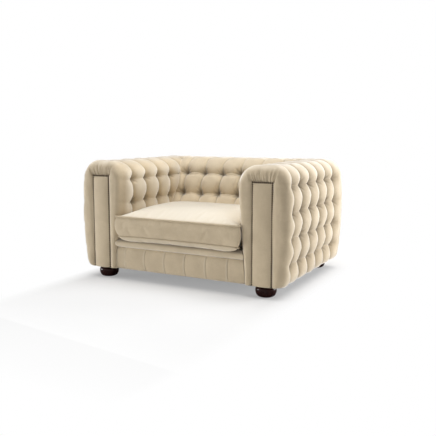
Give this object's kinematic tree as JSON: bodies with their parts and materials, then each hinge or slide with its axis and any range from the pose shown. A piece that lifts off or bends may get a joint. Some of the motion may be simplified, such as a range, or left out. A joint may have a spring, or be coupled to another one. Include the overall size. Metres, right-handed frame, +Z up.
{
  "type": "snuggle chair",
  "caption": "Wide low armchair with square-tufted velvet arms and back, a loose piped box cushion, nail-trimmed arm fronts, a pleated front border and dark bun feet.",
  "frame": {"origin": "on the floor, under the middle of the chair's overall box", "axes": "+Z up, -Y out of the front of the seat, +X to the right of a person looking at the front"},
  "size_m": [1.2988, 0.9498, 0.672],
  "materials": {
    "velvet": "beige velvet pile",
    "piping": "self-covered cord",
    "deck_cloth": "plain lining cloth over wadding",
    "cover_cloth": "black non-woven dust cloth",
    "webbing": "woven elastic webbing",
    "beech": "sawn, unfinished",
    "dark_wood": "dark brown gloss stain",
    "steel": "oiled spring steel",
    "bronze": "antique bronze"
  },
  "bodies": {
    "chair": {"back_pad": "velvet", "back_top_rail": "beech", "back_upright_left": "beech", "back_upright_middle": "beech", "back_upright_right": "beech", "back_web_1": "webbing", "back_web_2": "webbing", "back_web_3": "webbing", "back_web_4": "webbing", "bottom_rear_rail": "beech", "bun_foot_front_left": "dark_wood", "bun_foot_front_right": "dark_wood", "bun_foot_rear_left": "dark_wood", "bun_foot_rear_right": "dark_wood", "dust_cover": "cover_cloth", "foot_block_front_left": "beech", "foot_block_front_right": "beech", "foot_block_rear_left": "beech", "foot_block_rear_right": "beech", "foot_bolt_front_left": "steel", "foot_bolt_front_right": "steel", "foot_bolt_rear_left": "steel", "foot_bolt_rear_right": "steel", "front_border": "velvet", "front_lip": "velvet", "front_rail": "beech", "front_spring_clip": "steel", "left_arm_facing": "velvet", "left_arm_nail_strip": "bronze", "left_arm_pad": "velvet", "left_arm_rail": "beech", "left_front_post": "beech", "left_inner_side_rail": "beech", "left_outer_side_rail": "beech", "left_rear_post": "beech", "lower_back_rail": "beech", "outside_back_panel": "velvet", "rear_seat_rail": "beech", "rear_spring_clip": "steel", "right_arm_facing": "velvet", "right_arm_nail_strip": "bronze", "right_arm_pad": "velvet", "right_arm_rail": "beech", "right_front_post": "beech", "right_inner_side_rail": "beech", "right_outer_side_rail": "beech", "right_rear_post": "beech", "seat_deck": "deck_cloth", "seat_spring_1": "steel", "seat_spring_2": "steel", "seat_spring_3": "steel", "seat_spring_4": "steel", "seat_spring_5": "steel", "seat_spring_6": "steel"},
    "cushion": {"cushion_piping_bottom": "piping", "cushion_piping_top": "piping", "seat_cushion": "velvet"}
  },
  "joints": [
    {"name": "cushion_slide", "type": "slide", "parent": "chair", "child": "cushion", "axis": [0, -1, 0], "range_m": [0, 0.6]}
  ]
}
